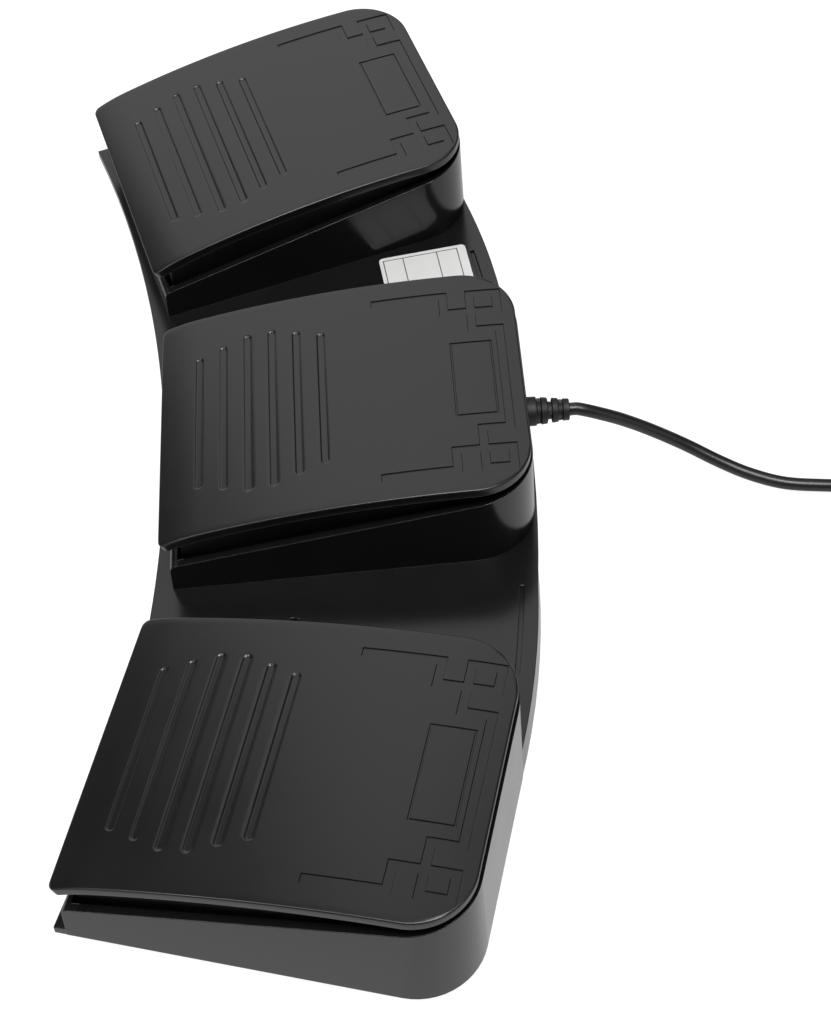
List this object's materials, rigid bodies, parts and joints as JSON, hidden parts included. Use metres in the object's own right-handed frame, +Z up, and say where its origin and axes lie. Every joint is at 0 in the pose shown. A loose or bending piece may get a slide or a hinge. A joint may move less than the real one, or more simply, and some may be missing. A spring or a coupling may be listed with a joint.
{
  "type": "usb foot pedal switch",
  "caption": "Three-pedal USB foot switch: black fan-shaped base, three hinged treadle plates with sunk ornament, ribbed strain relief and USB cable.",
  "frame": {"origin": "centre of the base's footprint on the floor, cable left out", "axes": "+X to the user's right, +Y to the rear where the cable leaves, +Z up"},
  "size_m": [0.3574, 0.3034, 0.0418],
  "materials": {
    "shell_abs": "gloss black moulded ABS",
    "pedal_abs": "satin black moulded ABS",
    "cover_abs": "matt black moulded ABS",
    "foot_rubber": "matt black rubber",
    "screw_steel": "zinc-plated steel",
    "pin_steel": "ground steel",
    "spring_steel": "plated spring wire",
    "stop_rubber": "soft rubber",
    "switch_case": "dark grey moulded plastic",
    "switch_plunger": "red moulded plastic",
    "terminal_brass": "tinned brass",
    "board_laminate": "green coated board",
    "chip_epoxy": "moulded epoxy",
    "crystal_can": "drawn steel can",
    "connector_nylon": "natural nylon",
    "cable_pvc": "soft black PVC, slight sheen",
    "tie_vinyl": "vinyl-covered wire tie",
    "plug_steel": "bright plated steel",
    "plug_insulator": "white plastic",
    "contact_gold": "gold-plated brass",
    "label_film": "silver-grey printed film"
  },
  "bodies": {
    "base": {"upper_shell": "shell_abs", "bottom_cover": "cover_abs", "rubber_feet": "foot_rubber", "cover_screws": "screw_steel", "left_hinge_pins": "pin_steel", "centre_hinge_pins": "pin_steel", "right_hinge_pins": "pin_steel", "left_spring": "spring_steel", "centre_spring": "spring_steel", "right_spring": "spring_steel", "stop_pads": "stop_rubber", "left_switch_body": "switch_case", "centre_switch_body": "switch_case", "right_switch_body": "switch_case", "left_switch_terminals": "terminal_brass", "centre_switch_terminals": "terminal_brass", "right_switch_terminals": "terminal_brass", "main_board": "board_laminate", "left_board": "board_laminate", "right_board": "board_laminate", "board_screws": "screw_steel", "controller_chip": "chip_epoxy", "crystal": "crystal_can", "board_parts": "chip_epoxy", "cable_connector": "connector_nylon", "lead_connectors": "connector_nylon", "left_lead": "cable_pvc", "right_lead": "cable_pvc", "inner_cable": "cable_pvc", "strain_relief": "cable_pvc", "usb_cable": "cable_pvc", "usb_cable_coil": "cable_pvc", "coil_tie": "tie_vinyl", "plug_body": "cable_pvc", "plug_shell": "plug_steel", "plug_insulator": "plug_insulator", "plug_contacts": "contact_gold", "rating_label": "label_film"},
    "left_pedal": {"left_pedal": "pedal_abs"},
    "centre_pedal": {"centre_pedal": "pedal_abs"},
    "right_pedal": {"right_pedal": "pedal_abs"},
    "left_plunger": {"left_switch_plunger": "switch_plunger"},
    "centre_plunger": {"centre_switch_plunger": "switch_plunger"},
    "right_plunger": {"right_switch_plunger": "switch_plunger"}
  },
  "joints": [
    {"name": "left_pedal_hinge", "type": "hinge", "parent": "base", "child": "left_pedal", "pos_m": [-0.13623, 0.03595, 0.033], "axis": [0.9641, 0.2656, 0], "range_deg": [0, 3], "stiffness_Nm_per_rad": 4, "springref_deg": -4.58, "deforming": ["left_spring"]},
    {"name": "centre_pedal_hinge", "type": "hinge", "parent": "base", "child": "centre_pedal", "pos_m": [0, 0.05437, 0.033], "axis": [1, 0, 0], "range_deg": [0, 3], "stiffness_Nm_per_rad": 4, "springref_deg": -4.58, "deforming": ["centre_spring"]},
    {"name": "right_pedal_hinge", "type": "hinge", "parent": "base", "child": "right_pedal", "pos_m": [0.13623, 0.03595, 0.033], "axis": [0.9641, -0.2656, 0], "range_deg": [0, 3], "stiffness_Nm_per_rad": 4, "springref_deg": -4.58, "deforming": ["right_spring"]},
    {"name": "left_plunger_slide", "type": "slide", "parent": "base", "child": "left_plunger", "axis": [0, 0, -1], "range_m": [0, 0.0011]},
    {"name": "centre_plunger_slide", "type": "slide", "parent": "base", "child": "centre_plunger", "axis": [0, 0, -1], "range_m": [0, 0.0011]},
    {"name": "right_plunger_slide", "type": "slide", "parent": "base", "child": "right_plunger", "axis": [0, 0, -1], "range_m": [0, 0.0011]}
  ],
  "couplings": [
    {"joint": "left_plunger_slide", "follows": "left_pedal_hinge", "m_per_rad": 0.02},
    {"joint": "centre_plunger_slide", "follows": "centre_pedal_hinge", "m_per_rad": 0.02},
    {"joint": "right_plunger_slide", "follows": "right_pedal_hinge", "m_per_rad": 0.02}
  ]
}
